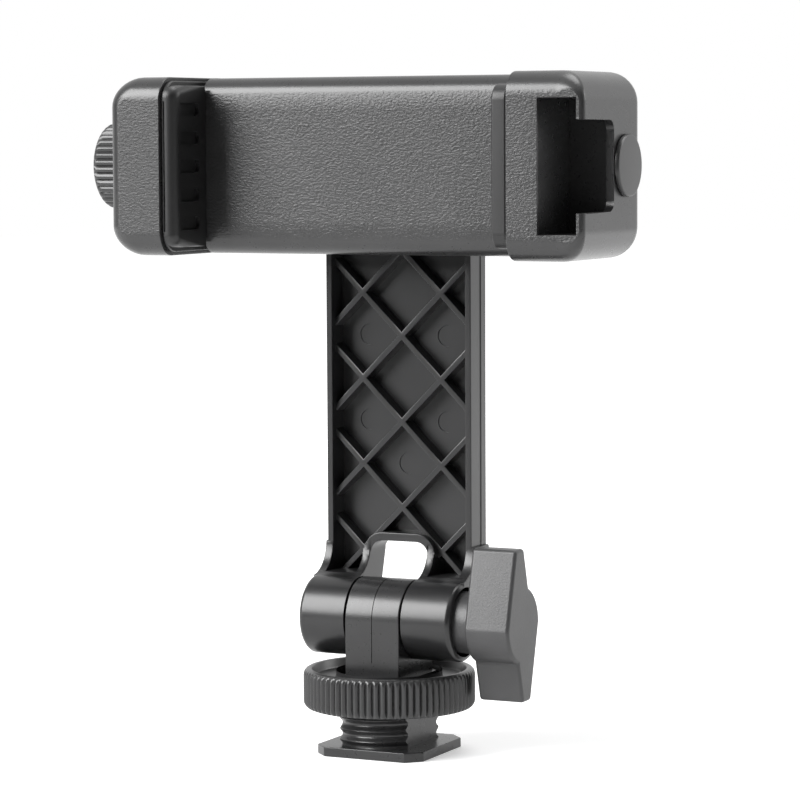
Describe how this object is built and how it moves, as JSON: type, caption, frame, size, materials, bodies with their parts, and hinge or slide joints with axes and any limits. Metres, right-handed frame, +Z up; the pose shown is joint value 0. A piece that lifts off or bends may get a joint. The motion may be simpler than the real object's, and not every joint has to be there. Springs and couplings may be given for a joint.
{
  "type": "phone holder",
  "caption": "Screw clamp for a phone on a ribbed arm that tilts on a shoe foot with a knurled lock wheel; the clamp also turns on the arm and has an accessory slot.",
  "frame": {"origin": "centre of the foot plate's underside", "axes": "+Z up along the arm, the jaws open towards -Y, the tilt axis and the clamp's length run along X with the clamp screw's knob at -X"},
  "size_m": [0.0882, 0.034, 0.105],
  "materials": {
    "black_plastic": "moulded, fine grain",
    "satin_plastic": "moulded, smooth satin",
    "black_rubber": "soft matt",
    "bright_steel": "zinc plated",
    "turned_brass": "turned",
    "grey_nylon": "punched sheet"
  },
  "bodies": {
    "foot": {"shoe_foot": "satin_plastic"},
    "key_washer": {"wheel_key_washer": "grey_nylon"},
    "wheel": {"lock_wheel": "black_plastic"},
    "arm": {"arm": "satin_plastic", "tilt_bolt": "bright_steel", "tilt_washer": "bright_steel", "swivel_spring_washer": "bright_steel", "swivel_friction_washer": "grey_nylon"},
    "knob": {"tilt_knob": "black_plastic", "tilt_knob_insert": "turned_brass"},
    "clamp": {"clamp_body": "black_plastic", "clamp_back_cover": "black_plastic", "cover_screws": "bright_steel", "right_pad": "black_rubber", "clamp_nut": "bright_steel", "end_plug": "satin_plastic", "swivel_screw": "bright_steel", "swivel_nut": "bright_steel"},
    "jaw": {"sliding_jaw": "black_plastic", "left_pad": "black_rubber"},
    "screw": {"clamp_screw": "bright_steel", "clamp_screw_knob": "black_plastic", "screw_clip": "bright_steel"}
  },
  "joints": [
    {"name": "wheel_lift", "type": "slide", "parent": "foot", "child": "key_washer", "axis": [0, 0, 1], "range_m": [-0.005, 0.001]},
    {"name": "wheel_turn", "type": "hinge", "parent": "key_washer", "child": "wheel", "pos_m": [0, 0, 0.01], "axis": [0, 0, 1], "continuous": true},
    {"name": "arm_tilt", "type": "hinge", "parent": "foot", "child": "arm", "pos_m": [0, 0, 0.0209], "axis": [1, 0, 0], "range_deg": [-75, 90]},
    {"name": "tilt_knob_turn", "type": "hinge", "parent": "arm", "child": "knob", "pos_m": [0.0155, 0, 0.0209], "axis": [1, 0, 0], "continuous": true},
    {"name": "clamp_swivel", "type": "hinge", "parent": "arm", "child": "clamp", "pos_m": [0, 0.0034, 0.09115], "axis": [0, 1, 0], "continuous": true},
    {"name": "jaw_slide", "type": "slide", "parent": "clamp", "child": "jaw", "axis": [-1, 0, 0], "range_m": [0, 0.03]},
    {"name": "clamp_screw_turn", "type": "hinge", "parent": "jaw", "child": "screw", "pos_m": [-0.0376, -0.0043, 0.09115], "axis": [1, 0, 0], "continuous": true}
  ],
  "couplings": [
    {"joint": "wheel_turn", "follows": "wheel_lift", "rad_per_m": 3696},
    {"joint": "clamp_screw_turn", "follows": "jaw_slide", "rad_per_m": 3141.6}
  ]
}
